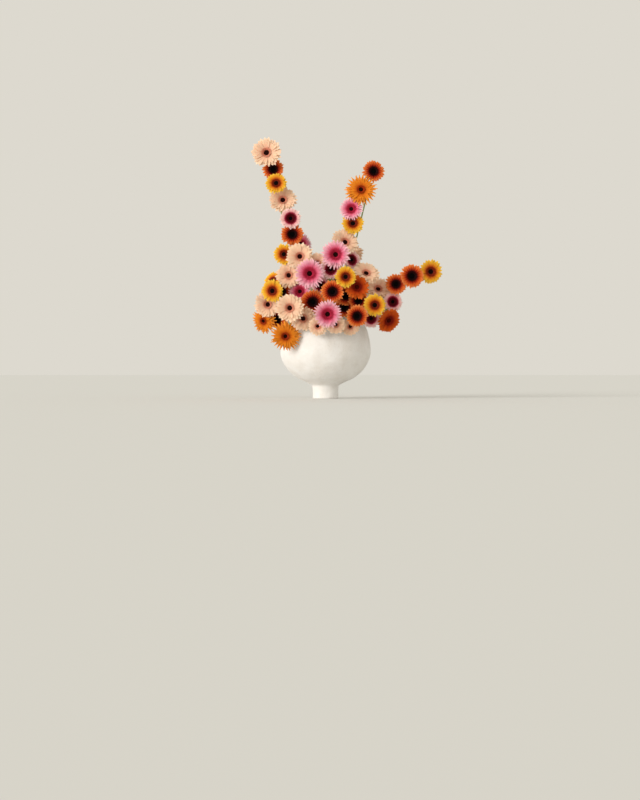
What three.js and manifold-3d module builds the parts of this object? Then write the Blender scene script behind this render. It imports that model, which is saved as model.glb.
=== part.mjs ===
// Cut gerberas arranged in a round footed vase, in millimetres, +Z up.
// The origin is the centre of the vase's foot, on the surface that it stands on.
// The arrangement faces -Y: a dome of blooms over the rim, a tall spire to the left, a
// shorter one to the right, and a low arm of blooms reaching right.

import * as THREE from 'three';
import { mergeVertices } from 'three/addons/utils/BufferGeometryUtils.js';
import Module from 'manifold-3d';

const wasm = await Module();
wasm.setup();

// ---- Vase: a foot ring, a round bowl and a wide open mouth.
const FOOT_DIAMETER = 82;
const FOOT_FLARE = 1.5;
const FOOT_HEIGHT = 43;
const BOWL_DIAMETER = 288;
const BELLY_HEIGHT = 156;
const VASE_HEIGHT = 265;
const MOUTH_DIAMETER = 212;
const VASE_WALL = 8;
const FLOOR_THICKNESS = 12;
const LIP_ROUNDING = 2.5;
const LOWER_BOWL_POWER = 2.1;
const VASE_SIDES = 40;
const VASE_ROWS = 15;

// ---- Dome of blooms: the surface that the foremost blooms touch, which overhangs the bowl.
const SIDE_OVERHANG = 96;
const FRONT_OVERHANG = 51;
const BACK_OVERHANG = -9;
const DOME_SINK = 5;
const DOME_RISE = 300;
const SPIRE_FRONT = 75;
const DOME_CENTRE_Z = VASE_HEIGHT - DOME_SINK;
const DOME_HALF_WIDTH = BOWL_DIAMETER / 2 + SIDE_OVERHANG;
const DOME_FRONT = BOWL_DIAMETER / 2 + FRONT_OVERHANG;
const DOME_BACK = BOWL_DIAMETER / 2 + BACK_OVERHANG;

// ---- Blooms
const BLOOM_SIDES = 12;
const PETAL_THICKNESS = 2.4;
const EYE_SHARE = 0.26;
const EYE_RISE = 2;
const BLOOM_GAP = 1;
const DRAW_BACK_STEP = 1.5;
const RECEPTACLE_DEPTH = 13;
const RECEPTACLE_DIAMETER = 17;

// ---- Stems
const STEM_SIDES = 5;
const STEM_POINTS = 10;
const NECK_LENGTH = 14;
const STEM_GAP = 0.6;
const WALL_GAP = 1.5;
const STEM_SPACING = 12;
const MOUTH_MARGIN = 8;
const LIP_CLEARANCE = 20;
const HANGING_BELOW = 60;
const FOOT_GATHER = 0.5;
const STEM_END_HEIGHT = 100;
const LEAST_IN_VASE = 40;
const LONGEST_STEM = 560;
// A stem rises straight from the mouth over this share of the way to its bloom.
const STRAIGHT_SHARE = 0.6;

// ---- How the stems jostle apart: how deep in the wall counts as brushing it, how far
// apart two places can be and still touch, and the share of a fault mended in each round.
const BRUSH = 5;
const NEAR = 130;
const FACET_ALLOWANCE = 1.08;
const MEND_STEMS = 0.6;
const MEND_BLOOM = 0.5;
const MEND_WALL = 0.7;
const EASE = 0.12;
const EASED_ROUNDS = 160;
const LAST_ROUNDS = 60;

// Each variety's petal colour, roughness, stem diameter, and how far its petal tips stand
// forward of the eye as a share of the bloom's radius.
const VARIETIES = {
  peach: { colour: '#f3d3b4', roughness: 0.6, stem: 5.5, cup: 0.16 },
  pink: { colour: '#e988b4', roughness: 0.6, stem: 5.5, cup: 0.12 },
  orange: { colour: '#e8851f', roughness: 0.6, stem: 5.5, cup: -0.05 },
  tangerine: { colour: '#d6541c', roughness: 0.6, stem: 5.0, cup: 0.08 },
  rust: { colour: '#c4561f', roughness: 0.6, stem: 4.5, cup: 0.08 },
  yellow: { colour: '#f2a72c', roughness: 0.6, stem: 4.5, cup: 0.08 },
  blush: { colour: '#f0b8b4', roughness: 0.6, stem: 4.5, cup: 0.12 },
};

// Blooms as [variety, diameter, x, rise, turn, lift], foremost first. Rise is the height
// above the vase's mouth, turn is degrees to the right of the front and lift is degrees
// upwards, and turn and lift give the way that the bloom faces.
const LEFT_SPIRE = [
  ['peach', 98, -185, 505, -8, 6],
  ['yellow', 70, -155, 410, -6, 8],
  ['blush', 68, -110, 300, 0, 6],
  ['peach', 90, -135, 360, 0, 14],
  ['rust', 70, -165, 455, 0, 8],
  ['rust', 75, -105, 250, 0, 8],
  ['pink', 74, -80, 225, 14, 6],
];
const RIGHT_SPIRE = [
  ['orange', 102, 110, 390, 0, 6],
  ['rust', 72, 150, 450, 5, 6],
  ['pink', 76, 80, 330, -3, 10],
  ['yellow', 72, 85, 285, 0, 12],
];
const RIGHT_ARM = [
  ['rust', 78, 270, 120, 4, 2],
  ['yellow', 78, 330, 135, 10, 2],
  ['rust', 70, 220, 95, 2, 4],
];
const DOME = [
  ['pink', 88, 5, -5, 0, -3],
  ['pink', 96, -50, 120, 2, 4],
  ['peach', 90, -110, 15, -12, 0],
  ['yellow', 68, 60, 110, 3, 2],
  ['rust', 70, 95, -10, 6, -4],
  ['peach', 88, -80, 175, -3, 4],
  ['yellow', 72, 150, 25, 8, 0],
  ['pink', 92, 30, 180, -4, 4],
  ['yellow', 72, -165, 70, -12, 0],
  ['rust', 74, 20, 65, 0, 0],
  ['peach', 62, 30, -35, 3, -20],
  ['peach', 62, -25, -40, -4, -20],
  ['peach', 86, -70, -15, -5, -14],
  ['orange', 96, -125, -70, -5, -6],
  ['yellow', 68, -130, 185, -10, 4],
  ['peach', 84, -115, 120, -8, 0],
  ['peach', 86, -180, 30, -14, -8],
  ['rust', 78, -40, 35, -10, 0],
  ['tangerine', 80, 95, 80, 12, 6],
  ['peach', 88, 125, 125, 12, 32],
  ['peach', 90, 60, 225, 14, 20],
  ['blush', 64, 210, 40, 14, 0],
  ['orange', 88, -195, -20, -28, -20],
  ['pink', 76, -80, 70, -15, 0],
  ['blush', 66, 15, 135, 0, 4],
  ['rust', 65, 100, 40, 5, -4],
  ['rust', 66, 60, 55, 5, 0],
  ['tangerine', 84, 195, -20, 28, -24],
  ['peach', 60, 75, -40, 6, -20],
  ['blush', 62, 140, -15, 12, -10],
  ['peach', 86, 165, 80, 12, 32],
  ['blush', 64, 80, 170, 25, 6],
  ['yellow', 66, -165, 105, -30, 20],
  ['blush', 62, -15, 85, 0, 0],
  ['peach', 66, -25, 155, -5, 10],
];
// The back of the dome, where turn is counted from the back.
const BACK = [
  ['peach', 92, -60, 65, 8, 6],
  ['orange', 98, 60, 35, -8, -4],
  ['pink', 92, 20, 125, -4, 24],
  ['tangerine', 80, -145, 80, 25, 10],
  ['peach', 90, 130, 105, -25, 22],
  ['yellow', 72, -120, 5, 20, -8],
  ['rust', 76, 150, 20, -28, -4],
  ['blush', 66, -30, 10, 4, -10],
  ['yellow', 72, -80, 165, 14, 34],
  ['peach', 88, 80, 205, -12, 40],
];

const radians = THREE.MathUtils.degToRad;

// The vase's outer radius at a height above the foot.
function bowlRadius(z) {
  const belly = BOWL_DIAMETER / 2;
  if (z < BELLY_HEIGHT) {
    const drop = Math.min(1, (BELLY_HEIGHT - z) / (BELLY_HEIGHT - FOOT_HEIGHT));
    return belly * (1 - drop ** LOWER_BOWL_POWER) ** (1 / LOWER_BOWL_POWER);
  }
  const mouth = MOUTH_DIAMETER / BOWL_DIAMETER;
  const rise = (z - BELLY_HEIGHT) / (VASE_HEIGHT - BELLY_HEIGHT);
  return belly * Math.sqrt(1 - (1 - mouth ** 2) * rise ** 2);
}

// The vase's profile from the middle of its foot, up the outside, over the lip and down
// the inside to the middle of its floor.
function vaseProfile() {
  const outside = [];
  const inside = [];
  const footTop = FOOT_DIAMETER / 2 + FOOT_FLARE;
  const floor = FOOT_HEIGHT + FLOOR_THICKNESS;
  for (let row = 0; row <= VASE_ROWS; row++) {
    const angle = (row / VASE_ROWS) * Math.PI;
    const z = FOOT_HEIGHT + (VASE_HEIGHT - FOOT_HEIGHT) * (1 - Math.cos(angle)) / 2;
    const r = bowlRadius(z);
    if (r > footTop + 2) outside.push([r, z]);
    if (z > floor + VASE_WALL / 2 && row < VASE_ROWS) inside.unshift([r - VASE_WALL, z]);
  }
  const lip = MOUTH_DIAMETER / 2 - VASE_WALL / 2;
  outside.push([lip, VASE_HEIGHT + LIP_ROUNDING]);
  inside.unshift([MOUTH_DIAMETER / 2 - VASE_WALL, VASE_HEIGHT]);
  const points = [
    [0, 0], [FOOT_DIAMETER / 2, 0], [footTop, FOOT_HEIGHT],
    ...outside, ...inside,
    [footTop, floor], [0, floor],
  ];
  return points.map(([r, z]) => new THREE.Vector2(r, z));
}

// Turns a lathe's own +Y axis to +Z.
function lathe(points, sides) {
  return new THREE.LatheGeometry(points, sides).rotateX(Math.PI / 2);
}

// A closed mesh as a solid that can be joined.
function solid(geometry) {
  const bare = geometry.clone();
  bare.deleteAttribute('normal');
  bare.deleteAttribute('uv');
  const merged = mergeVertices(bare, 1e-4);
  return new wasm.Manifold(new wasm.Mesh({
    numProp: 3,
    vertProperties: merged.attributes.position.array,
    triVerts: new Uint32Array(merged.index.array),
  }));
}

function geometryOf(manifold) {
  const { vertProperties, triVerts } = manifold.getMesh();
  const geometry = new THREE.BufferGeometry();
  geometry.setAttribute('position', new THREE.BufferAttribute(vertProperties, 3));
  geometry.setIndex(new THREE.BufferAttribute(triVerts, 1));
  geometry.computeVertexNormals();
  return geometry;
}

// ---- Where the blooms sit

// How far the dome's surface stands out from the middle plane at a place.
function domeReach(x, z, depth) {
  const across = x / DOME_HALF_WIDTH;
  const up = (z - DOME_CENTRE_Z) / DOME_RISE;
  const shape = Math.max(0, 1 - across ** 2 - up ** 2);
  return Math.max(SPIRE_FRONT, depth * Math.sqrt(shape));
}

function facing(turn, lift) {
  const level = Math.cos(radians(lift));
  return new THREE.Vector3(
    Math.sin(radians(turn)) * level, -Math.cos(radians(turn)) * level, Math.sin(radians(lift)),
  );
}

// The height of a bloom's petal plate above its centre plane at a radius from its axis.
function plateHeight(bloom, radius) {
  const eye = EYE_SHARE * bloom.radius;
  return bloom.tip * Math.max(0, (radius - eye) / (bloom.radius - eye));
}

// A point in a bloom's own terms: along its axis from the petal plate, and out from the axis.
function fromBloom(bloom, point) {
  const offset = point.clone().sub(bloom.centre);
  const along = offset.dot(bloom.face);
  const out = Math.sqrt(Math.max(0, offset.lengthSq() - along ** 2));
  return { along, out, over: along - plateHeight(bloom, Math.min(out, bloom.radius)) };
}

function rimPoints(bloom) {
  const side = new THREE.Vector3(0, 0, 1).cross(bloom.face).normalize();
  const up = bloom.face.clone().cross(side);
  const points = [];
  for (let i = 0; i < 2 * BLOOM_SIDES; i++) {
    const angle = (i / (2 * BLOOM_SIDES)) * 2 * Math.PI;
    for (const share of [0.5, 1]) {
      const radius = share * bloom.radius;
      points.push(bloom.centre.clone()
        .addScaledVector(side, Math.cos(angle) * radius)
        .addScaledVector(up, Math.sin(angle) * radius)
        .addScaledVector(bloom.face, plateHeight(bloom, radius)));
    }
  }
  return points;
}

function neckPoints(bloom) {
  const depths = [0.5, 1, 1.5].map((share) => -RECEPTACLE_DEPTH - share * NECK_LENGTH);
  return depths.map((depth) => bloom.centre.clone().addScaledVector(bloom.face, depth));
}

// True where a bloom stands clear in front of another, or beside it.
function clears(front, back) {
  const reach = front.radius + back.radius + BLOOM_GAP;
  if (front.centre.distanceTo(back.centre) > reach) return true;
  const thickness = PETAL_THICKNESS + BLOOM_GAP;
  const receptacle = RECEPTACLE_DEPTH + BLOOM_GAP;
  for (const point of rimPoints(back)) {
    const { out, over } = fromBloom(front, point);
    const behind = out < RECEPTACLE_DIAMETER / 2 + BLOOM_GAP ? receptacle : thickness;
    if (out < front.radius + BLOOM_GAP && over > -behind) return false;
  }
  for (const point of [...rimPoints(front), ...neckPoints(front)]) {
    const { out, over } = fromBloom(back, point);
    if (out < back.radius + BLOOM_GAP && over < thickness) return false;
  }
  return true;
}

// Places one bloom on the arrangement's surface and draws it in until it lies clear of
// all those placed before it.
function placeBloom([variety, diameter, x, rise, turn, lift], placed, outward) {
  const z = VASE_HEIGHT + rise;
  const depth = outward < 0 ? DOME_FRONT : DOME_BACK;
  const bloom = {
    variety,
    radius: diameter / 2,
    tip: VARIETIES[variety].cup * diameter / 2,
    centre: new THREE.Vector3(x, outward * domeReach(x, z, depth), z),
    face: outward < 0 ? facing(turn, lift) : facing(180 + turn, lift),
  };
  while (!placed.every((other) => clears(other, bloom))) {
    bloom.centre.y -= outward * DRAW_BACK_STEP;
  }
  placed.push(bloom);
  return bloom;
}

// ---- How the stems run

// The stems pass through the mouth in order: the steepest in the middle and the most
// leaning by the lip, each on the side that its bloom is on.
function seatStems(blooms) {
  const heart = new THREE.Vector3(0, 0, STEM_END_HEIGHT);
  for (const bloom of blooms) {
    const lean = bloom.centre.clone().sub(heart);
    bloom.steepness = Math.atan2(lean.z, Math.hypot(lean.x, lean.y));
    bloom.bearing = Math.atan2(lean.y, lean.x);
  }
  const mostOut = MOUTH_DIAMETER / 2 - VASE_WALL - MOUTH_MARGIN;
  [...blooms].sort((a, b) => b.steepness - a.steepness).forEach((bloom, place) => {
    const out = Math.min(mostOut, STEM_SPACING * Math.sqrt(place + 0.5));
    bloom.seat = new THREE.Vector3(
      Math.cos(bloom.bearing) * out, Math.sin(bloom.bearing) * out, VASE_HEIGHT,
    );
  });
}

// A stem's first path, from its cut end through the mouth to the back of its bloom.
function stemPath(bloom) {
  const neck = bloom.centre.clone().addScaledVector(bloom.face, -RECEPTACLE_DEPTH + 2);
  const bend = neck.clone().addScaledVector(bloom.face, -NECK_LENGTH);
  const below = Math.max(LEAST_IN_VASE, LONGEST_STEM - bloom.centre.distanceTo(bloom.seat));
  const endZ = Math.max(STEM_END_HEIGHT, VASE_HEIGHT - below);
  const gather = THREE.MathUtils.lerp(
    1, FOOT_GATHER, (VASE_HEIGHT - endZ) / (VASE_HEIGHT - STEM_END_HEIGHT),
  );
  const end = new THREE.Vector3(bloom.seat.x * gather, bloom.seat.y * gather, endZ);
  const rise = bloom.seat.clone().lerp(bend, STRAIGHT_SHARE);
  if (bend.z < VASE_HEIGHT + HANGING_BELOW) {
    rise.copy(bloom.seat).setLength(MOUTH_DIAMETER / 2 + VASE_WALL);
    rise.z = VASE_HEIGHT + LIP_CLEARANCE;
  }
  const route = new THREE.CatmullRomCurve3([end, bloom.seat, rise, bend], false, 'centripetal');
  bloom.path = [...route.getSpacedPoints(STEM_POINTS - 2), neck];
  bloom.stem = VARIETIES[bloom.variety].stem;
}

// The shortest line between two straight pieces a-b and c-d, as shares along each.
function closest(a, b, c, d) {
  const u = b.clone().sub(a);
  const v = d.clone().sub(c);
  const w = a.clone().sub(c);
  const uu = u.dot(u);
  const uv = u.dot(v);
  const vv = v.dot(v);
  const uw = u.dot(w);
  const vw = v.dot(w);
  const clamp = (share) => Math.min(1, Math.max(0, share));
  const denominator = uu * vv - uv * uv;
  let s = denominator > 1e-9 ? clamp((uv * vw - vv * uw) / denominator) : 0.5;
  const t = clamp((uv * s + vw) / vv);
  s = clamp((uv * t - uw) / uu);
  return { s, t, line: w.addScaledVector(u, s).addScaledVector(v, -t) };
}

// Moves the free ends of a straight piece of a stem, each by its share.
function shift(path, piece, share, move) {
  const last = path.length - 3;
  if (piece <= last) path[piece].addScaledVector(move, 1 - share);
  if (piece + 1 <= last) path[piece + 1].addScaledVector(move, share);
}

function spreadPair(one, two) {
  const clear = (one.stem + two.stem) / 2 * FACET_ALLOWANCE + STEM_GAP;
  for (let i = 0; i + 1 < one.path.length; i++) {
    for (let j = 0; j + 1 < two.path.length; j++) {
      const a = one.path[i];
      const c = two.path[j];
      if (Math.abs(a.z - c.z) > NEAR || Math.abs(a.x - c.x) > NEAR) continue;
      const { s, t, line } = closest(a, one.path[i + 1], c, two.path[j + 1]);
      const gap = line.length();
      if (gap >= clear) continue;
      if (gap < 0.01) line.set(1, 0, 0);
      line.setLength((clear - gap) * MEND_STEMS);
      shift(one.path, i, s, line);
      shift(two.path, j, t, line.negate());
    }
  }
}

// Pushes a stem out from the petal plate and the receptacle of another bloom.
function clearBloom(stemmed, bloom) {
  const margin = stemmed.stem / 2 + 2 * BLOOM_GAP;
  const behind = RECEPTACLE_DEPTH + margin;
  for (let i = 0; i + 1 < stemmed.path.length; i++) {
    for (const share of [0, 0.25, 0.5, 0.75]) {
      const point = stemmed.path[i].clone().lerp(stemmed.path[i + 1], share);
      if (point.distanceTo(bloom.centre) > bloom.radius + behind) continue;
      const { along, out, over } = fromBloom(bloom, point);
      const back = out < RECEPTACLE_DIAMETER / 2 + margin ? behind : PETAL_THICKNESS + margin;
      const front = PETAL_THICKNESS + margin;
      if (out > bloom.radius + margin || over > front || over < -back) continue;
      const push = point.clone().sub(bloom.centre).addScaledVector(bloom.face, -along);
      const sideways = bloom.radius + margin - out;
      if (over + back < sideways) push.copy(bloom.face).multiplyScalar(-(over + back));
      else push.setLength(sideways);
      shift(stemmed.path, i, share, push.multiplyScalar(MEND_BLOOM));
    }
  }
}

// Pushes a stem out of the vase's wall: sideways where it only brushes the wall, and
// otherwise up over the lip.
function clearVase(bloom) {
  const margin = bloom.stem / 2 + WALL_GAP;
  const top = VASE_HEIGHT + LIP_ROUNDING + margin;
  for (let i = 0; i + 1 < bloom.path.length; i++) {
    for (let share = 0; share < 1; share += 0.125) {
      const point = bloom.path[i].clone().lerp(bloom.path[i + 1], share);
      if (point.z > top) continue;
      const out = Math.hypot(point.x, point.y);
      const outer = bowlRadius(Math.min(point.z, VASE_HEIGHT));
      const inwards = out - (outer - VASE_WALL - margin);
      const outwards = outer + margin - out;
      if (inwards < 0 || outwards < 0) continue;
      const push = new THREE.Vector3(point.x / out, point.y / out, 0);
      if (inwards < BRUSH) push.multiplyScalar(-inwards);
      else if (outwards < BRUSH) push.multiplyScalar(outwards);
      else push.set(0, 0, top - point.z);
      shift(bloom.path, i, share, push.multiplyScalar(MEND_WALL));
    }
  }
}

// The stems jostle until they all lie clear of each other, of the blooms and of the vase.
function settleStems(blooms) {
  for (let round = 0; round < EASED_ROUNDS + LAST_ROUNDS; round++) {
    const ease = round < EASED_ROUNDS ? EASE : 0;
    for (const bloom of blooms) {
      const { path } = bloom;
      for (let i = 1; i < path.length - 2; i++) {
        const middle = path[i - 1].clone().add(path[i + 1]).multiplyScalar(0.5);
        path[i].lerp(middle, ease);
      }
    }
    blooms.forEach((one, i) => {
      for (const two of blooms.slice(i + 1)) spreadPair(one, two);
      for (const other of blooms) if (other !== one) clearBloom(one, other);
      clearVase(one);
    });
  }
}

// ---- Solids

// A bloom's plate of petals with its raised eye, and the receptacle behind it.
function bloomGeometry(bloom) {
  const eye = EYE_SHARE * bloom.radius;
  const half = PETAL_THICKNESS / 2;
  const profile = [
    [0, -RECEPTACLE_DEPTH],
    [RECEPTACLE_DIAMETER / 2, -half],
    [bloom.radius, bloom.tip],
    [eye, half],
    [0, half + EYE_RISE],
  ].map(([r, z]) => new THREE.Vector2(r, z));
  const geometry = lathe(profile, BLOOM_SIDES);
  const turned = new THREE.Quaternion().setFromUnitVectors(new THREE.Vector3(0, 0, 1), bloom.face);
  return geometry.applyQuaternion(turned).translate(...bloom.centre);
}

class StemLine extends THREE.CurvePath {
  constructor(points) {
    super();
    for (let i = 0; i + 1 < points.length; i++) {
      this.add(new THREE.LineCurve3(points[i], points[i + 1]));
    }
  }

  getPoint(share) {
    const piece = Math.min(this.curves.length - 1, Math.floor(share * this.curves.length));
    return this.curves[piece].getPoint(share * this.curves.length - piece);
  }

  getPointAt(share) {
    return this.getPoint(share);
  }
}

function stemGeometry(bloom) {
  const section = new THREE.Shape();
  for (let side = 0; side < STEM_SIDES; side++) {
    const angle = (side / STEM_SIDES) * 2 * Math.PI;
    const x = Math.cos(angle) * bloom.stem / 2;
    const y = Math.sin(angle) * bloom.stem / 2;
    if (side) section.lineTo(x, y);
    else section.moveTo(x, y);
  }
  const end = bloom.centre.clone().addScaledVector(bloom.face, -RECEPTACLE_DEPTH / 2);
  const route = new StemLine([...bloom.path.slice(0, -1), end]);
  return new THREE.ExtrudeGeometry(section, {
    steps: route.curves.length, extrudePath: route, bevelEnabled: false,
  });
}

function gerbera(bloom, name) {
  const { colour, roughness } = VARIETIES[bloom.variety];
  const joined = solid(bloomGeometry(bloom)).add(solid(stemGeometry(bloom)));
  const material = new THREE.MeshStandardMaterial({ color: colour, roughness, metalness: 0 });
  const mesh = new THREE.Mesh(geometryOf(joined), material);
  mesh.name = name;
  return mesh;
}

function vase() {
  const glaze = new THREE.MeshStandardMaterial({ color: '#ece7de', roughness: 0.85, metalness: 0 });
  const mesh = new THREE.Mesh(lathe(vaseProfile(), VASE_SIDES), glaze);
  mesh.name = 'vase';
  return mesh;
}

const blooms = [];
for (const flower of [...LEFT_SPIRE, ...RIGHT_SPIRE, ...RIGHT_ARM, ...DOME]) {
  placeBloom(flower, blooms, -1);
}
for (const flower of BACK) placeBloom(flower, blooms, 1);
seatStems(blooms);
blooms.forEach(stemPath);
settleStems(blooms);

const arrangement = new THREE.Group();
arrangement.add(vase());
blooms.forEach((bloom, i) => {
  const number = String(i + 1).padStart(2, '0');
  arrangement.add(gerbera(bloom, `gerbera_${number}_${bloom.variety}`));
});

export default arrangement;
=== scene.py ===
import math
import random
from dataclasses import dataclass

import bmesh
import bpy
from bpy.props import FloatProperty, FloatVectorProperty, IntProperty, PointerProperty
from mathutils import Matrix, Vector, noise


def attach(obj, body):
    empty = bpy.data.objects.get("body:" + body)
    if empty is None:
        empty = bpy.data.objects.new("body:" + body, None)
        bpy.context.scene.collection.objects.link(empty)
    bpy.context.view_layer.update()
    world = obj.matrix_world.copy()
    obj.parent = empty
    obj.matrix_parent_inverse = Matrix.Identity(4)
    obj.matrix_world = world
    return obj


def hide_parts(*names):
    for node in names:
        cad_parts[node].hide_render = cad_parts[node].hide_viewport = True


bl_info = {
    "name": "Gerberas in a Footed Vase",
    "version": (1, 0, 0),
    "blender": (4, 5, 0),
    "location": "3D View > Sidebar > Gerberas",
    "description": "Builds cut gerberas, their vase and a plain studio around a packed frame",
    "category": "Add Mesh",
}

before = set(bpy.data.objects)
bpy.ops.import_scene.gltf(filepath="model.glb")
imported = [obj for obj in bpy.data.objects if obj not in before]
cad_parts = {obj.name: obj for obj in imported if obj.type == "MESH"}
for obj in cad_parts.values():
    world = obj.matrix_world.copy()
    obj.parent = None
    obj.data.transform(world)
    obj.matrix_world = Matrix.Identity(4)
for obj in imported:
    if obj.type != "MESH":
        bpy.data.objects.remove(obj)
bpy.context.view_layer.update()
BODY = "root"
MM = 0.001


# ---- Small helpers

def linear(text):
    """An sRGB hex colour as a linear colour."""
    parts = [int(text[i:i + 2], 16) / 255 for i in (1, 3, 5)]
    return tuple(c / 12.92 if c <= 0.04045 else ((c + 0.055) / 1.055) ** 2.4 for c in parts)


def opaque(colour):
    return (*colour[:3], 1.0)


def add(tree, kind, links=None, **settings):
    """Adds a shader node with its settings, and with links or values on its inputs."""
    made = tree.nodes.new(kind)
    for key, value in settings.items():
        setattr(made, key, value)
    for key, value in (links or {}).items():
        if isinstance(value, bpy.types.NodeSocket):
            tree.links.new(value, made.inputs[key])
        else:
            made.inputs[key].default_value = value
    return made


def ramp(tree, factor, stops):
    """Adds a colour ramp through (position, colour) stops."""
    made = add(tree, "ShaderNodeValToRGB", {"Fac": factor})
    points = made.color_ramp.elements
    while len(points) < len(stops):
        points.new(0.5)
    for point, (position, colour) in zip(points, stops):
        point.position = position
        point.color = opaque(colour)
    return made.outputs["Color"]


def new_material(name):
    """A material with an empty tree, and its output node."""
    made = bpy.data.materials.new(name)
    made.use_nodes = True
    made.node_tree.nodes.clear()
    return made, made.node_tree, made.node_tree.nodes.new("ShaderNodeOutputMaterial")


def new_piece(name, bm, material, slot, *nodes):
    """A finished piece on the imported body, from a bmesh whose place is in its vertices."""
    mesh = bpy.data.meshes.new(name)
    bm.to_mesh(mesh)
    bm.free()
    mesh.materials.append(material)
    piece = bpy.data.objects.new(name, mesh)
    bpy.context.scene.collection.objects.link(piece)
    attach(piece, BODY)
    if nodes:
        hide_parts(*nodes)
    return piece


# ---- Varieties

@dataclass
class Ring:
    """One ring of petals. Reach and base are shares of the bloom's radius, width is a share
    of the room that each petal has, and lift and curl are degrees above the bloom's plane.
    Shade is how much nearer the heart its colours are taken, and form names its outline."""

    count: int
    reach: float
    base: float
    width: float
    lift: float
    curl: float
    shade: float = 0.0
    form: str = "ray"


@dataclass
class Variety:
    """A kind of gerbera: its colours from the heart to the petal tips, its eye's share of the
    bloom's radius, how far the heart's colour bleeds up the petals, and its rings."""

    colours: tuple
    eye: float
    bleed: float
    rings: tuple
    eye_colour: str = "#240b08"
    halo_colour: str = "#5a2a1e"


VARIETIES = {
    "peach": Variety(
        ((0.18, "#d0826a"), (0.28, "#e6ac90"), (0.34, "#f2c2a4"), (0.70, "#f7d3b4"), (1.0, "#fae0c6")),
        0.19, 0.03,
        (
            Ring(24, 1.00, 0.16, 0.90, -3, 9),
            Ring(24, 0.93, 0.16, 0.90, 4, 10),
            Ring(22, 0.76, 0.16, 0.84, 10, 10),
            Ring(34, 0.33, 0.17, 0.95, 30, 14, 0.04, "floret"),
        ),
        halo_colour="#6a2c26",
    ),
    "pink": Variety(
        ((0.18, "#b02440"), (0.32, "#cc3c5a"), (0.44, "#e4708e"), (0.66, "#f3aabc"), (1.0, "#fcd6dc")),
        0.17, 0.04,
        (
            Ring(28, 1.00, 0.16, 0.86, -3, 8, form="point"),
            Ring(26, 0.93, 0.16, 0.86, 4, 10, form="point"),
            Ring(26, 0.74, 0.16, 0.82, 10, 12, 0.06, "point"),
            Ring(30, 0.42, 0.17, 0.90, 22, 14, 0.08, "floret"),
            Ring(32, 0.32, 0.17, 0.90, 36, 14, 0.06, "floret"),
        ),
        halo_colour="#4a0c1a",
    ),
    "orange": Variety(
        ((0.15, "#982e08"), (0.27, "#cc6212"), (0.48, "#e4861e"), (1.0, "#f2a640")),
        0.14, 0.05,
        (
            Ring(26, 1.00, 0.12, 0.72, -2, 7, form="spike"),
            Ring(25, 0.92, 0.12, 0.74, 5, 8, form="spike"),
            Ring(22, 0.74, 0.12, 0.70, 11, 8, form="spike"),
            Ring(34, 0.27, 0.13, 0.90, 34, 14, 0.04, "floret"),
        ),
        halo_colour="#481608",
    ),
    "tangerine": Variety(
        ((0.22, "#7c1606"), (0.40, "#ac320a"), (0.66, "#d05614"), (1.0, "#e67c30")),
        0.18, 0.06,
        (
            Ring(24, 1.00, 0.16, 0.90, -3, 8),
            Ring(24, 0.92, 0.16, 0.88, 4, 10),
            Ring(22, 0.74, 0.16, 0.84, 10, 10),
            Ring(34, 0.36, 0.18, 0.90, 32, 14, 0.08, "floret"),
        ),
        eye_colour="#4a0e06",
        halo_colour="#5c1408",
    ),
    "rust": Variety(
        ((0.26, "#200202"), (0.38, "#6e0e06"), (0.51, "#b23410"), (0.72, "#e47432"), (1.0, "#f6b474")),
        0.24, 0.13,
        (
            Ring(23, 1.00, 0.18, 0.88, -3, 8),
            Ring(22, 0.92, 0.18, 0.86, 4, 10),
            Ring(30, 0.43, 0.20, 0.90, 18, 12, 0.05, "floret"),
            Ring(32, 0.36, 0.22, 0.90, 30, 12, 0.08, "floret"),
        ),
        eye_colour="#070303",
        halo_colour="#120404",
    ),
    "yellow": Variety(
        ((0.26, "#7c220a"), (0.38, "#b84612"), (0.52, "#dd8420"), (0.74, "#efb834"), (1.0, "#f6d660")),
        0.23, 0.07,
        (
            Ring(23, 1.00, 0.18, 0.92, -3, 8),
            Ring(22, 0.92, 0.18, 0.88, 4, 10),
            Ring(30, 0.40, 0.20, 0.90, 24, 14, 0.06, "floret"),
        ),
        eye_colour="#120706",
        halo_colour="#8a5040",
    ),
    "blush": Variety(
        ((0.22, "#540810"), (0.40, "#98162e"), (0.52, "#b83a54"), (0.62, "#f0b0b0"), (1.0, "#fce8e0")),
        0.18, 0.04,
        (
            Ring(24, 1.00, 0.18, 0.92, -3, 8),
            Ring(22, 0.93, 0.18, 0.90, 4, 10),
            Ring(34, 0.53, 0.18, 0.95, 15, 14, 0.08, "floret"),
            Ring(32, 0.44, 0.18, 0.95, 26, 14, 0.10, "floret"),
            Ring(30, 0.35, 0.18, 0.95, 36, 14, 0.10, "floret"),
        ),
        eye_colour="#0c0406",
        halo_colour="#20040c",
    ),
}


# ---- Settings

class VaseSettings(bpy.types.PropertyGroup):
    relief: FloatProperty(
        name="Hand relief", description="Height of the lumps that the maker's hands left",
        default=0.0018, min=0.0, subtype="DISTANCE", unit="LENGTH",
    )
    spacing: FloatProperty(
        name="Row spacing", description="Distance between the rows of faces",
        default=0.004, min=0.002, subtype="DISTANCE", unit="LENGTH",
    )
    steps: IntProperty(name="Steps", description="Faces round the vase", default=176, min=24)
    clay: FloatVectorProperty(
        name="Clay", description="Colour of the bare clay slip", subtype="COLOR",
        default=linear("#f0edea"), min=0.0, max=1.0,
    )
    stain: FloatVectorProperty(
        name="Stain", description="Colour in the clay's pits and thin places",
        subtype="COLOR", default=linear("#e6e1db"), min=0.0, max=1.0,
    )


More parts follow.
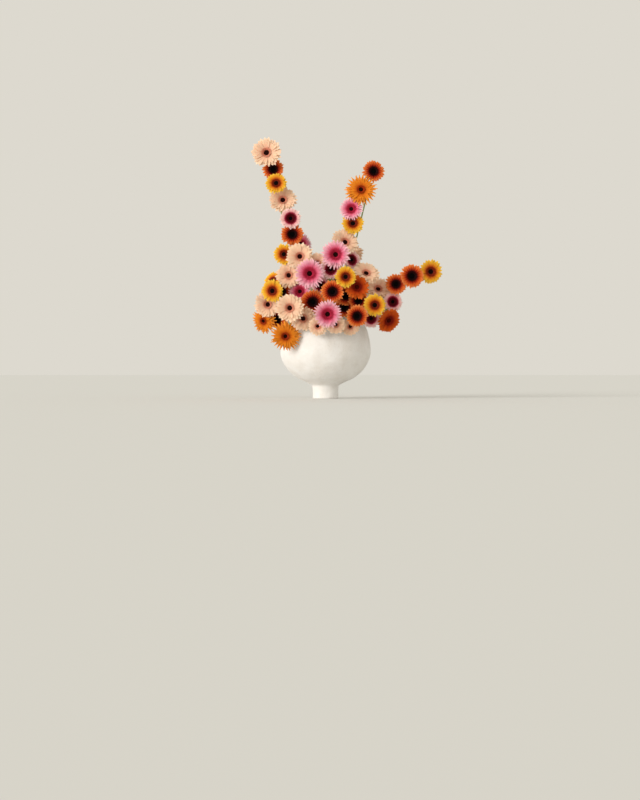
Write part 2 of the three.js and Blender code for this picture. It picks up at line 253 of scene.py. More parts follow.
class GerberaSettings(bpy.types.PropertyGroup):
    seed: IntProperty(
        name="Seed", description="Start of the random numbers that vary the petals", default=11,
    )
    uneven: FloatProperty(
        name="Unevenness", description="How much petals differ in length, turn and lift",
        default=1.0, min=0.0, max=3.0,
    )
    stem_green: FloatVectorProperty(
        name="Stem", description="Colour of the stems and cups", subtype="COLOR",
        default=linear("#7d9450"), min=0.0, max=1.0,
    )
    stem_pale: FloatVectorProperty(
        name="Stem, pale", description="Colour of the stems' paler streaks",
        subtype="COLOR", default=linear("#a3ad72"), min=0.0, max=1.0,
    )


class StudioSettings(bpy.types.PropertyGroup):
    backdrop: FloatVectorProperty(
        name="Backdrop", description="Colour of the backdrop, which also fills the shadows",
        subtype="COLOR", default=linear("#ddd9cf"), min=0.0, max=1.0,
    )
    floor: FloatVectorProperty(
        name="Floor", description="Colour of the floor's paint", subtype="COLOR",
        default=linear("#e0e0dd"), min=0.0, max=1.0,
    )
    key_power: FloatProperty(
        name="Key light", description="Strength of the broad soft light", default=2.4, min=0.0,
    )
    distance: FloatProperty(
        name="Camera distance", description="From the camera to the vase",
        default=4.0, min=1.0, subtype="DISTANCE", unit="LENGTH",
    )


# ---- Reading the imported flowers

def append(bm, template, matrix):
    """Adds a placed copy of a template mesh to a bmesh."""
    placed = template.copy()
    placed.transform(matrix)
    bm.from_mesh(placed)
    bpy.data.meshes.remove(placed)


def merged_copy(node):
    """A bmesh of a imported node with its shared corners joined."""
    bm = bmesh.new()
    bm.from_mesh(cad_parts[node].data)
    bmesh.ops.remove_doubles(bm, verts=bm.verts, dist=1e-6)
    return bm


def middle(verts):
    return sum((v.co for v in verts), Vector()) / len(verts)


def evenness(vert):
    """How nearly a vertex stands in the middle of its neighbours' ring: 1 is exact."""
    lengths = [edge.calc_length() for edge in vert.link_edges]
    return min(lengths) / max(lengths)


@dataclass
class Flower:
    """What a packed gerbera says: where its bloom is, which way it faces and its stem's line."""

    name: str
    variety: str
    centre: Vector
    face: Vector
    radius: float
    cup: float
    line: list
    stem: float

    def placing(self):
        """Turns the bloom's own frame, which faces +Z, to its place."""
        turn = self.face.to_track_quat("Z", "Y").to_matrix().to_4x4()
        return Matrix.Translation(self.centre) @ turn


PLATE_SIDES = 12
STEM_SIDES = 5
EYE_RISE = 3.2 * MM


def read_flower(node):
    """Walks a packed gerbera ring by ring, from the middle of its eye to its cut end."""
    bm = merged_copy(node)
    middles = [v for v in bm.verts if len(v.link_edges) == PLATE_SIDES]
    tip = max(middles, key=evenness)
    rings = [[tip]]
    seen = {tip}
    while rings[-1]:
        around = {e.other_vert(v) for v in rings[-1] for e in v.link_edges} - seen
        seen |= around
        rings.append(list(around))
    rings.pop()
    face = (tip.co - middle(rings[1])).normalized()
    centre = tip.co - face * EYE_RISE
    rim = middle(rings[2])
    line = []
    while len(rings[-1]) == STEM_SIDES:
        ring = rings.pop()
        line.append(middle(ring))
        stem = (ring[0].co - line[-1]).length
    flower = Flower(
        node, node.rsplit("_", 1)[1], centre, face,
        max((v.co - rim).length for v in rings[2]), (rim - centre).dot(face), line, stem,
    )
    bm.free()
    return flower


def read_flowers():
    return [read_flower(node) for node in sorted(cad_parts) if node.startswith("gerbera")]


# Blooms that fill the sides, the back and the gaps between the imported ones, as (variety,
# diameter, x, y, z, heading, lift): millimetres, and degrees to the right of the front and up.
FILLERS = (
    ("rust", 66, 57, -112, 285, 5, -4),
    ("rust", 58, -136, -80, 335, 8, 0),
    ("rust", 62, -150, -70, 250, -30, -10),
    ("yellow", 70, -198, -10, 320, -85, 5),
    ("pink", 74, -158, 32, 362, -110, 18),
    ("blush", 66, -110, 35, 440, -120, 40),
    ("rust", 72, -185, 45, 285, -110, -8),
    ("peach", 84, -45, 30, 438, -30, 74),
    ("tangerine", 78, 30, 45, 445, 160, 60),
    ("yellow", 70, 120, 15, 410, 110, 45),
    ("blush", 64, 185, 5, 345, 100, 25),
    ("rust", 72, 205, -10, 285, 95, 0),
    ("peach", 74, 194, 54, 308, 115, 5),
    ("orange", 90, -100, 95, 385, -155, 22),
    ("rust", 70, 82, 108, 378, 165, 22),
    ("yellow", 62, -2, 126, 333, 180, 8),
    ("blush", 64, 100, 128, 245, 165, -10),
    ("peach", 70, -66, 138, 252, -172, -12),
    ("rust", 70, 20, 142, 258, 178, -10),
    ("rust", 54, 122, 74, 396, 140, 42),
    ("rust", 68, -25, 90, 415, -175, 40),
)
# How far the rim of such a bloom rises in front of its eye, as a share of its radius.
CUPPING = {"peach": 0.16, "pink": 0.12, "orange": -0.05, "blush": 0.12}
PLAIN_CUPPING = 0.10
# Its stem runs straight behind it for a neck's length, and down through the vase's mouth,
# where it is gathered towards the middle.
STEM_RADIUS = 2.4 * MM
NECK_LENGTH = 30 * MM
LOWEST_END = 100 * MM
MOUTH_HEIGHT = 280 * MM
MOUTH_REACH = 78 * MM
MOUTH_GATHERING = 0.5
INSIDE_GATHERING = 0.55


def filler_flower(number, variety, diameter, x, y, z, heading, lift):
    """A flower at a chosen place, whose stem comes up through the vase's mouth."""
    turn, up = math.radians(heading), math.radians(lift)
    face = Vector((math.sin(turn) * math.cos(up), -math.cos(turn) * math.cos(up), math.sin(up)))
    centre = Vector((x, y, z)) * MM
    bend = centre - face * NECK_LENGTH
    mouth = Vector((centre.x, centre.y, 0)) * MOUTH_GATHERING
    mouth = mouth.normalized() * min(mouth.length, MOUTH_REACH)
    mouth.z = MOUTH_HEIGHT
    line = [mouth * INSIDE_GATHERING, mouth, mouth.lerp(bend, 0.5), bend]
    line[0].z = LOWEST_END
    radius = diameter * MM / 2
    cup = CUPPING.get(variety, PLAIN_CUPPING) * radius
    name = f"gerbera_extra{number:02d}"
    return Flower(name, variety, centre, face, radius, cup, line, STEM_RADIUS)


def all_flowers():
    """Every flower with the nodes that its pieces stand in for."""
    packed = [(flower, [flower.name]) for flower in read_flowers()]
    fillers = [filler_flower(number, *filler) for number, filler in enumerate(FILLERS, 1)]
    return packed + [(flower, []) for flower in fillers]


# ---- Petals

@dataclass
class Form:
    """A petal's outline: its faces across and along, its width at the base, where it is
    widest, its width at the tip's shoulders, how far it rounds off and its tip's notches."""

    columns: int
    rows: int
    base: float
    widest: float
    shoulder: float
    rounding: float
    notch: float


FORMS = {
    "ray": Form(4, 6, 0.34, 0.62, 0.80, 0.15, 0.035),
    "point": Form(4, 6, 0.36, 0.55, 0.60, 0.20, 0.02),
    "spike": Form(4, 6, 0.42, 0.45, 0.42, 0.22, 0.0),
    "floret": Form(2, 3, 0.45, 0.60, 0.60, 0.22, 0.0),
}
# A flat petal's grooves and thickness, in thirds of the bloom's radius, and how sharp an
# edge must be to stay sharp.
GROOVE = 0.035
PETAL_SKIN = 0.035
FLATNESS = 3
SHARP = math.radians(50)
# How far a ring stands in front of the one below for each degree of lift, as a share of the
# bloom's radius.
RING_STEP = 0.0015
# How far petals stray at an unevenness of 1: shares of their room, reach, width and length,
# and degrees.
ROOM_STRAY = 0.16
REACH_STRAY = (-0.06, 0.07)
WIDTH_STRAY = (-0.12, 0.08)
SWAY_STRAY = 0.06
LIFT_STRAY = 4
CURL_STRAY = 6
TWIST_STRAY = 14
SAG_RANGE = (2, 10)
LEAST_CURL = 1e-3


def petal_width(form, along):
    """A petal's width at a place along it, as a share of its widest."""
    if along < form.widest:
        return form.base + (1 - form.base) * math.sin(along / form.widest * math.pi / 2)
    past = (along - form.widest) / (1 - form.widest)
    return 1 - (1 - form.shoulder) * past ** 2


def petal_template(form, thickness):
    """One flat petal, one unit long and wide, closed, with a notched tip and two grooves."""
    bm = bmesh.new()
    bmesh.ops.create_grid(bm, x_segments=form.columns, y_segments=form.rows, size=0.5)
    places = {}
    for vert in bm.verts:
        across, along = vert.co.x * 2, vert.co.y + 0.5
        places[vert] = (across, along)
        tooth = form.notch * math.cos(across * 2 * math.pi)
        end = 1 - form.rounding * across ** 2 - (form.notch - tooth) / 2
        vert.co.y = along * (1 - (1 - end) * along ** 3)
        vert.co.x *= petal_width(form, along)
        groove = (1 - math.cos(across * 2 * math.pi)) / 2
        vert.co.z = -GROOVE * groove * math.sin(math.pi * min(1, along * 1.4) / 2)
    uv = bm.loops.layers.uv.new("petal")
    for face in bm.faces:
        for loop in face.loops:
            across, along = places[loop.vert]
            loop[uv].uv = (0.5 + across * 0.45, along)
    bmesh.ops.recalc_face_normals(bm, faces=bm.faces)
    upper = bm.faces[:]
    bmesh.ops.solidify(bm, geom=upper, thickness=thickness)
    for face in bm.faces:
        face.smooth = True
    for edge in bm.edges:
        edge.smooth = edge.calc_face_angle(0) < SHARP
    mesh = bpy.data.meshes.new("petal")
    bm.to_mesh(mesh)
    bm.free()
    return mesh


def place_ring(bm, template, flower, ring, number, sag, rng, uneven):
    """Adds a ring of petals to a bloom, each bent along an arc and turned a little its own
    way. Sag is how many degrees the bloom's one side droops and its other rises, and where."""
    zone = bm.verts.layers.float["zone"]
    uv = bm.loops.layers.uv["petal"]
    placing = flower.placing()
    slope = math.degrees(math.atan2(flower.cup, flower.radius))
    room = 2 * math.pi / ring.count
    offset = rng.random() * room
    for petal in range(ring.count):
        turn = offset + room * (petal + rng.uniform(-ROOM_STRAY, ROOM_STRAY) * uneven)
        reach = ring.reach * (1 + rng.uniform(*REACH_STRAY) * uneven)
        stray = rng.uniform(-LIFT_STRAY, LIFT_STRAY) * uneven
        mean = math.radians(slope + ring.lift + stray + sag[0] * math.cos(turn - sag[1]))
        curl = math.radians(ring.curl + rng.uniform(-CURL_STRAY, CURL_STRAY) * uneven)
        curl = curl or LEAST_CURL
        twist = math.radians(rng.uniform(-TWIST_STRAY, TWIST_STRAY) * uneven)
        length = (reach - ring.base) * flower.radius / math.cos(mean)
        width = room * ring.reach * flower.radius * ring.width
        width *= 1 + rng.uniform(*WIDTH_STRAY) * uneven
        sway = rng.uniform(-SWAY_STRAY, SWAY_STRAY) * uneven * length
        first = mean + curl
        spin = placing @ Matrix.Rotation(turn, 4, "Z")
        start, corners = len(bm.verts), len(bm.faces)
        bm.from_mesh(template)
        bm.verts.ensure_lookup_table()
        bm.faces.ensure_lookup_table()
        for vert in bm.verts[start:]:
            across, along, up = vert.co
            angle = first - 2 * curl * along
            out = (math.sin(first) - math.sin(angle)) / (2 * curl) * length
            rise = (math.cos(angle) - math.cos(first)) / (2 * curl) * length
            roll = twist * along
            across, up = across * width, up * flower.radius / FLATNESS
            side = across * math.cos(roll) - up * math.sin(roll)
            up = up * math.cos(roll) + across * math.sin(roll)
            vert.co = spin @ Vector((
                ring.base * flower.radius + out - up * math.sin(angle),
                side + sway * along ** 2,
                rise + up * math.cos(angle) + ring.lift * RING_STEP * flower.radius,
            ))
            share = ring.base + (reach - ring.base) * along
            vert[zone] = max(0.0, share - ring.shade)
        for face in bm.faces[corners:]:
            for loop in face.loops:
                loop[uv].uv.x += number
        number += 1
    return number


def bloom_bmesh(flower, templates, rng, uneven):
    bm = bmesh.new()
    bm.verts.layers.float.new("zone")
    bm.loops.layers.uv.new("petal")
    number = 0
    sag = (rng.uniform(*SAG_RANGE) * uneven, rng.uniform(0, 2 * math.pi))
    for ring in VARIETIES[flower.variety].rings:
        number = place_ring(bm, templates[ring.form], flower, ring, number, sag, rng, uneven)
    return bm


# Fresh petal: thin wet tissue with a satin skin, fine ribs along its length whose grooves carry
# painted shade, and light glowing through it, so it stays bright in its own shade.
def petal_material(name, variety):
    made, tree, output = new_material(name)
    zone = add(tree, "ShaderNodeAttribute", attribute_name="zone")
    petal = add(tree, "ShaderNodeUVMap", uv_map="petal")
    parts = add(tree, "ShaderNodeSeparateXYZ", {"Vector": petal.outputs["UV"]})
    own = add(tree, "ShaderNodeMath", {0: parts.outputs["X"]}, operation="FLOOR")
    across = add(tree, "ShaderNodeMath", {0: parts.outputs["X"]}, operation="FRACT")
    folded = add(tree, "ShaderNodeMath", {0: across.outputs[0], 1: 0.5}, operation="PINGPONG")
    middle_line = add(
        tree, "ShaderNodeMapRange",
        {"Value": folded.outputs[0], "From Min": 0.05, "From Max": 0.5},
        interpolation_type="SMOOTHSTEP",
    )
    # a petal is about 9 mm wide, and its ribs lie about 0.8 mm apart
    stretched = add(
        tree, "ShaderNodeVectorMath",
        {0: petal.outputs["UV"], 1: (11.0, 1.3, 1.0)}, operation="MULTIPLY",
    )
    ribs = add(
        tree, "ShaderNodeTexNoise",
        {"Vector": stretched.outputs[0], "Scale": 1.0, "Detail": 3.0, "Roughness": 0.55},
    )
    streak = add(
        tree, "ShaderNodeMath",
        {0: middle_line.outputs[0], 1: ribs.outputs["Fac"]}, operation="MULTIPLY",
    )
    shifted = add(
        tree, "ShaderNodeMath",
        {0: streak.outputs[0], 1: -2 * variety.bleed, 2: zone.outputs["Fac"]},
        operation="MULTIPLY_ADD",
    )
    stops = [(position, linear(colour)) for position, colour in variety.colours]
    base = ramp(tree, shifted.outputs[0], stops)
    # Painted shade in the rib grooves: where the rib noise is low, and the bump below sinks, the
    # colour is darkened by multiplying it with itself.
    groove_shade = add(
        tree, "ShaderNodeMixRGB", {"Fac": 0.25, "Color1": base, "Color2": base},
        blend_type="MULTIPLY",
    )
    groove_shaded = add(
        tree, "ShaderNodeMixRGB",
        {"Fac": ribs.outputs["Fac"], "Color1": groove_shade.outputs["Color"], "Color2": base},
    )
    lot = add(tree, "ShaderNodeTexWhiteNoise", {"W": own.outputs[0]}, noise_dimensions="1D")
    value = add(
        tree, "ShaderNodeMapRange",
        {"Value": lot.outputs["Value"], "To Min": 0.90, "To Max": 1.04},
    )
    varied = add(
        tree, "ShaderNodeHueSaturation",
        {"Color": groove_shaded.outputs["Color"], "Value": value.outputs[0]},
    )
    bump = add(
        tree, "ShaderNodeBump",
        {"Height": ribs.outputs["Fac"], "Strength": 0.5, "Distance": 0.0004},
    )
    skin = add(
        tree, "ShaderNodeBsdfPrincipled",
        {
            "Base Color": varied.outputs["Color"], "Normal": bump.outputs["Normal"],
            "Roughness": 0.65, "IOR": 1.4, "Specular IOR Level": 0.10,
            "Subsurface Weight": 0.1, "Subsurface Radius": (0.003, 0.0015, 0.001),
        },
    )
    tree.links.new(skin.outputs["BSDF"], output.inputs["Surface"])
    return made


# ---- Eyes

GOLDEN_ANGLE = math.pi * (3 - math.sqrt(5))
EYE_FLORETS = 70
EYE_HEIGHT = 0.30
# Florets' size and height at the middle, and what they gain by the edge.
FLORET_SIZE, FLORET_SIZE_GAIN = 0.075, 0.03
FLORET_STAND_GAIN = 1.1


def eye_bmesh(flower, rng):
    """A low dome packed with tiny florets in a spiral, the outer ring paler and standing up."""
    bm = bmesh.new()
    halo = bm.verts.layers.float.new("halo")
    radius = VARIETIES[flower.variety].eye * flower.radius
    bmesh.ops.create_uvsphere(bm, u_segments=18, v_segments=8, radius=radius)
    bmesh.ops.scale(bm, vec=(1, 1, EYE_HEIGHT), verts=bm.verts)
    for floret in range(EYE_FLORETS):
        share = math.sqrt((floret + 0.5) / EYE_FLORETS)
        angle = floret * GOLDEN_ANGLE
        height = EYE_HEIGHT * radius * math.sqrt(max(0, 1 - (share * 0.98) ** 2))
        size = radius * (FLORET_SIZE + FLORET_SIZE_GAIN * share) * rng.uniform(0.85, 1.15)
        stands = 1.0 + FLORET_STAND_GAIN * share ** 3
        start = len(bm.verts)
        place = Matrix.Translation((
            share * radius * math.cos(angle), share * radius * math.sin(angle), height,
        )) @ Matrix.Diagonal((1, 1, stands, 1))
        bmesh.ops.create_icosphere(bm, subdivisions=1, radius=size, matrix=place)
        bm.verts.ensure_lookup_table()
        for vert in bm.verts[start:]:
            vert[halo] = share ** 4
    bmesh.ops.transform(bm, matrix=flower.placing(), verts=bm.verts)
    for face in bm.faces:
        face.smooth = True
    return bm


# Disc florets: tightly packed closed buds, nearly black and dull, with pollen-dusted tips
# round the edge.
def eye_material(name, variety):
    made, tree, output = new_material(name)
    halo = add(tree, "ShaderNodeAttribute", attribute_name="halo")
    place = add(tree, "ShaderNodeTexCoord")
    # buds are about 1.2 mm across
    grain = add(
        tree, "ShaderNodeTexNoise",
        {"Vector": place.outputs["Object"], "Scale": 1 / (1.2 * MM), "Detail": 2.0},
    )
    edge = add(
        tree, "ShaderNodeMath", {0: halo.outputs["Fac"], 1: grain.outputs["Fac"]},
        operation="MULTIPLY",
    )
    colour = ramp(tree, edge.outputs[0], [
        (0.15, linear(variety.eye_colour)), (0.75, linear(variety.halo_colour)),
    ])
    bump = add(
        tree, "ShaderNodeBump",
        {"Height": grain.outputs["Fac"], "Strength": 0.5, "Distance": 0.0004},
    )
    skin = add(
        tree, "ShaderNodeBsdfPrincipled",
        {
            "Base Color": colour, "Normal": bump.outputs["Normal"],
            "Roughness": 0.9, "Specular IOR Level": 0.06,
        },
    )
    tree.links.new(skin.outputs["BSDF"], output.inputs["Surface"])
    return made


# ---- Stems

def stem_tube(line, radius):
    """A closed round tube that runs smoothly through the points of a line, as a mesh."""
    curve = bpy.data.curves.new("stem_line", "CURVE")
    curve.dimensions = "3D"
    curve.bevel_depth = radius
    curve.bevel_resolution = 3
    curve.use_fill_caps = True
    curve.resolution_u = 5
    spline = curve.splines.new("BEZIER")
    spline.bezier_points.add(len(line) - 1)
    for point, place in zip(spline.bezier_points, line):
        point.co = place
        point.handle_left_type = "AUTO"
        point.handle_right_type = "AUTO"
    carrier = bpy.data.objects.new("stem_line", curve)
    bpy.context.scene.collection.objects.link(carrier)
    depsgraph = bpy.context.evaluated_depsgraph_get()
    mesh = bpy.data.meshes.new_from_object(carrier.evaluated_get(depsgraph))
    bpy.data.objects.remove(carrier)
    bpy.data.curves.remove(curve)
    return mesh


CUP_RADIUS = 8.5 * MM
CUP_DEPTH = 13 * MM
CUP_SIDES = 18
BRACT_ROWS = 2
BRACTS = 14
BRACT_LENGTH = 13.5 * MM
BRACT_WIDTH = 4.2 * MM


def cup_bmesh(flower, template, rng):
    """The green cup behind a bloom: a turned body wrapped in two rows of pointed bracts."""
    bm = bmesh.new()
    profile = [
        (flower.stem, -CUP_DEPTH - 2 * MM), (flower.stem + 1.6 * MM, -CUP_DEPTH),
        (CUP_RADIUS * 0.80, -CUP_DEPTH * 0.62), (CUP_RADIUS, -CUP_DEPTH * 0.25),
        (CUP_RADIUS * 0.96, -0.6 * MM), (0, -0.3 * MM),
    ]
    verts = [bm.verts.new((r, 0, z)) for r, z in profile]
    edges = [bm.edges.new(pair) for pair in zip(verts, verts[1:])]
    bmesh.ops.spin(
        bm, geom=verts + edges, cent=(0, 0, 0), axis=(0, 0, 1),
        angle=2 * math.pi, steps=CUP_SIDES, use_merge=True,
    )
    bmesh.ops.remove_doubles(bm, verts=bm.verts, dist=1e-6)
    open_edges = [edge for edge in bm.edges if edge.is_boundary]
    bmesh.ops.holes_fill(bm, edges=open_edges)
    bmesh.ops.recalc_face_normals(bm, faces=bm.faces)
    for row in range(BRACT_ROWS):
        for bract in range(BRACTS):
            turn = 2 * math.pi * (bract + 0.5 * row + rng.uniform(-0.1, 0.1)) / BRACTS
            lean = math.radians(rng.uniform(64, 72) - 10 * row)
            length = (BRACT_LENGTH - 3.5 * MM * row) * rng.uniform(0.9, 1.05)
            base = Vector((flower.stem + (2.6 + 1.2 * row) * MM, 0, -CUP_DEPTH + row * MM))
            append(
                bm, template,
                Matrix.Rotation(turn, 4, "Z") @ Matrix.Translation(base)
                @ Matrix.Rotation(-lean, 4, "Y") @ Matrix.Rotation(-math.pi / 2, 4, "Z")
                @ Matrix.Diagonal((BRACT_WIDTH, length, 1, 1)),
            )
    bmesh.ops.transform(bm, matrix=flower.placing(), verts=bm.verts)
    for face in bm.faces:
        face.smooth = True
    return bm


def stem_bmesh(flower, template, rng):
    bm = cup_bmesh(flower, template, rng)
    neck = flower.centre - flower.face * (CUP_DEPTH - 3 * MM)
    tube = stem_tube([*flower.line, neck], flower.stem)
    bm.from_mesh(tube)
    bpy.data.meshes.remove(tube)
    for face in bm.faces:
        face.smooth = True
    return bm


# Gerbera stem: a soft hollow stalk with a fine bloom of hairs, so it is dull and streaked
# with paler green along its length.
def stem_material(settings):
    made, tree, output = new_material("gerbera_stem")
    place = add(tree, "ShaderNodeTexCoord")
    # streaks are about 2 mm wide and run up the stem
    streaks_at = add(
        tree, "ShaderNodeMapping",
        {"Vector": place.outputs["Object"], "Scale": (1.0, 1.0, 0.06)},
    )
    streaks = add(
        tree, "ShaderNodeTexNoise",
        {"Vector": streaks_at.outputs[0], "Scale": 1 / (2.2 * MM), "Detail": 3.0},
    )
    colour = ramp(tree, streaks.outputs["Fac"], [
        (0.35, settings.stem_green), (0.68, settings.stem_pale),
    ])
    bump = add(
        tree, "ShaderNodeBump",
        {"Height": streaks.outputs["Fac"], "Strength": 0.35, "Distance": 0.0003},
    )
    skin = add(
        tree, "ShaderNodeBsdfPrincipled",
        {
            "Base Color": colour, "Normal": bump.outputs["Normal"],
            "Roughness": 0.6, "Sheen Weight": 0.2, "Subsurface Weight": 0.08,
            "Subsurface Radius": (0.002, 0.003, 0.001),
        },
    )
    tree.links.new(skin.outputs["BSDF"], output.inputs["Surface"])
    return made


# ---- Vase

def vase_outline():
    """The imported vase's profile as (radius, height) points, from the middle of its foot, up
    the outside, over the lip and down to the middle of its floor."""
    bm = merged_copy("vase")
    seam = {v for v in bm.verts if abs(v.co.x) < 1e-5 and v.co.y < 1e-5}
    walk = [min(seam, key=lambda v: (v.co.xy.length > 1e-5, v.co.z))]
    while walk:
        seam.discard(walk[-1])
        onward = [e.other_vert(walk[-1]) for e in walk[-1].link_edges]
        onward = [v for v in onward if v in seam]
        if not onward:
            break
        walk.append(onward[0])
    points = [Vector((v.co.xy.length, v.co.z)) for v in walk]
    bm.free()
    return points


def smooth_profile(points, spacing):
    """Points at an even spacing on a smooth curve through the given ones."""
    made = []
    for i in range(len(points) - 1):
        before = points[max(0, i - 1)]
        after = points[min(len(points) - 1, i + 2)]
        a, b = points[i], points[i + 1]
        steps = max(1, round((b - a).length / spacing))
        for step in range(steps):
            t = step / steps
            made.append(
                0.5 * (
                    2 * a + (b - before) * t
                    + (2 * before - 5 * a + 4 * b - after) * t ** 2
                    + (3 * a - before - 3 * b + after) * t ** 3
                )
            )
    return [*made, points[-1]]


def turned(profile, steps):
    """A surface of revolution about Z from (radius, height) points."""
    bm = bmesh.new()
    verts = [bm.verts.new((r, 0, z)) for r, z in profile]
    edges = [bm.edges.new(pair) for pair in zip(verts, verts[1:])]
    bmesh.ops.spin(
        bm, geom=verts + edges, cent=(0, 0, 0), axis=(0, 0, 1),
        angle=2 * math.pi, steps=steps, use_merge=True,
    )
    bmesh.ops.remove_doubles(bm, verts=bm.verts, dist=1e-6)
    bmesh.ops.recalc_face_normals(bm, faces=bm.faces)
    for face in bm.faces:
        face.smooth = True
    return bm


# How wide the lumps, knocks and dents that the maker's hands left are, and how high above
# the ground they reach their full depth.
LUMP, KNOCK, DENT = 55 * MM, 24 * MM, 11 * MM
SMOOTH_BELOW = 20 * MM


def vase_bmesh(settings):
    """The foot, bowl and lip turned as one, then pressed uneven as by hand."""
    base, edge, neck, *bowl, corner, floor = vase_outline()
    round_off = 2 * MM
    foot = [
        Vector((0, 1.5 * MM)), Vector((edge.x - 5 * round_off, 1.5 * MM)),
        Vector((edge.x - 4 * round_off, 0)), Vector((edge.x - round_off, 0)),
        Vector((edge.x - 0.3 * round_off, 0.3 * round_off)), Vector((edge.x, round_off)),
        Vector((edge.x, neck.y * 0.5)), Vector((neck.x, neck.y - 1.5 * round_off)),
    ]
    shoulder = Vector((neck.x + 1.5 * round_off, neck.y + 0.4 * round_off))
    profile = [*smooth_profile(foot, settings.spacing)]
    profile += smooth_profile([shoulder, *bowl, corner, floor], settings.spacing)
    bm = turned([(max(p.x, 0), p.y) for p in profile], settings.steps)
    for vert in bm.verts:
        out = Vector((vert.co.x, vert.co.y, 0))
        if out.length < edge.x * 0.9 and vert.co.z < neck.y:
            continue
        lumps = noise.noise(vert.co / LUMP)
        knocks = noise.noise(vert.co / KNOCK + Vector((7, 3, 1)))
        dents = noise.noise(vert.co / DENT + Vector((1, 9, 4)))
        grip = min(1, max(0, vert.co.z - 2 * MM) / SMOOTH_BELOW)
        depth = settings.relief * grip * (lumps + 0.5 * knocks + 0.2 * dents)
        vert.co += out.normalized() * depth
    return bm


# Stoneware under matt white slip: dry and chalky, brushed on unevenly over coarse clay, so
# grit stands proud as small dots and burst bubbles leave pits.
def clay_material(settings):
    made, tree, output = new_material("matt_white_stoneware")
    place = add(tree, "ShaderNodeTexCoord")
    where = place.outputs["Object"]
    cloud = add(
        tree, "ShaderNodeTexNoise",
        {"Vector": where, "Scale": 1 / (45 * MM), "Detail": 5.0, "Roughness": 0.6},
    )
    # grit about 9 mm apart and pits about 14 mm apart, coarser than life so that they show
    grit = add(
        tree, "ShaderNodeTexVoronoi",
        {"Vector": where, "Scale": 1 / (9 * MM), "Randomness": 1.0},
    )
    dots = add(
        tree, "ShaderNodeMapRange",
        {"Value": grit.outputs["Distance"], "From Min": 0.06, "From Max": 0.17,
         "To Min": 1.0, "To Max": 0.0},
        interpolation_type="SMOOTHSTEP",
    )
    pits_at = add(
        tree, "ShaderNodeTexVoronoi",
        {"Vector": where, "Scale": 1 / (14 * MM), "Randomness": 1.0},
    )
    pits = add(
        tree, "ShaderNodeMapRange",
        {"Value": pits_at.outputs["Distance"], "From Min": 0.04, "From Max": 0.11,
         "To Min": 1.0, "To Max": 0.0},
        interpolation_type="SMOOTHSTEP",
    )
    grain = add(
        tree, "ShaderNodeTexNoise",
        {"Vector": where, "Scale": 1 / (1.1 * MM), "Detail": 3.0, "Roughness": 0.65},
    )
    brushed = add(
        tree, "ShaderNodeTexNoise",
        {"Vector": where, "Scale": 1 / (7 * MM), "Detail": 4.0, "Roughness": 0.6},
    )
    mottled = ramp(tree, cloud.outputs["Fac"], [
        (0.30, settings.stain), (0.62, settings.clay),
    ])
    pitted = add(
        tree, "ShaderNodeMixRGB",
        {"Fac": pits.outputs[0], "Color1": mottled, "Color2": opaque(settings.stain)},
    )
    proud = add(
        tree, "ShaderNodeMath", {0: dots.outputs[0], 1: pits.outputs[0]}, operation="SUBTRACT",
    )
    fine = add(
        tree, "ShaderNodeMath",
        {0: grain.outputs["Fac"], 1: 0.22, 2: proud.outputs[0]}, operation="MULTIPLY_ADD",
    )
    height = add(
        tree, "ShaderNodeMath",
        {0: brushed.outputs["Fac"], 1: 0.9, 2: fine.outputs[0]}, operation="MULTIPLY_ADD",
    )
    bump = add(
        tree, "ShaderNodeBump",
        {"Height": height.outputs[0], "Strength": 0.6, "Distance": 0.0013},
    )
    skin = add(
        tree, "ShaderNodeBsdfPrincipled",
        {
            "Base Color": pitted.outputs["Color"], "Normal": bump.outputs["Normal"],
            "Roughness": 0.88, "Specular IOR Level": 0.3,
        },
    )
    tree.links.new(skin.outputs["BSDF"], output.inputs["Surface"])
    return made


# ---- Operators

class GERBERA_OT_vase(bpy.types.Operator):
    """Turns the footed vase and gives it its hand-pressed surface"""

    bl_idname = "gerbera.vase"
    bl_label = "Vase"

    def execute(self, context):
        settings = context.scene.gerbera_vase
        new_piece("footed_vase", vase_bmesh(settings), clay_material(settings), "vase", "vase")
        return {"FINISHED"}


class GERBERA_OT_petals(bpy.types.Operator):
    """Makes every bloom's rings of petals"""

    bl_idname = "gerbera.petals"
    bl_label = "Petals"

    def execute(self, context):
        settings = context.scene.gerbera_flowers
        templates = {name: petal_template(form, PETAL_SKIN) for name, form in FORMS.items()}
        skins = {
            name: petal_material(f"{name}_petal", variety) for name, variety in VARIETIES.items()
        }
        for flower, nodes in all_flowers():
            rng = random.Random(f"{settings.seed} {flower.name}")
            bm = bloom_bmesh(flower, templates, rng, settings.uneven)
            name = flower.name.replace("gerbera", "petals")
            new_piece(name, bm, skins[flower.variety], flower.variety, *nodes)
        return {"FINISHED"}


class GERBERA_OT_eyes(bpy.types.Operator):
    """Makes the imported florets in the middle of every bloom"""

    bl_idname = "gerbera.eyes"
    bl_label = "Eyes"

    def execute(self, context):
        settings = context.scene.gerbera_flowers
        skins = {name: eye_material(f"{name}_eye", variety) for name, variety in VARIETIES.items()}
        for flower, nodes in all_flowers():
            rng = random.Random(f"{settings.seed} eye {flower.name}")
            name = flower.name.replace("gerbera", "eye")
            new_piece(name, eye_bmesh(flower, rng), skins[flower.variety], "eye", *nodes)
        return {"FINISHED"}


class GERBERA_OT_stems(bpy.types.Operator):
    """Makes every flower's stem and the green cup behind its bloom"""

    bl_idname = "gerbera.stems"
    bl_label = "Stems"

    def execute(self, context):
        settings = context.scene.gerbera_flowers
        template = petal_template(FORMS["floret"], 0.4 * MM)
        skin = stem_material(settings)
        for flower, nodes in all_flowers():
            rng = random.Random(f"{settings.seed} stem {flower.name}")
            name = flower.name.replace("gerbera", "stem")
            new_piece(name, stem_bmesh(flower, template, rng), skin, "stem_green", *nodes)
        return {"FINISHED"}


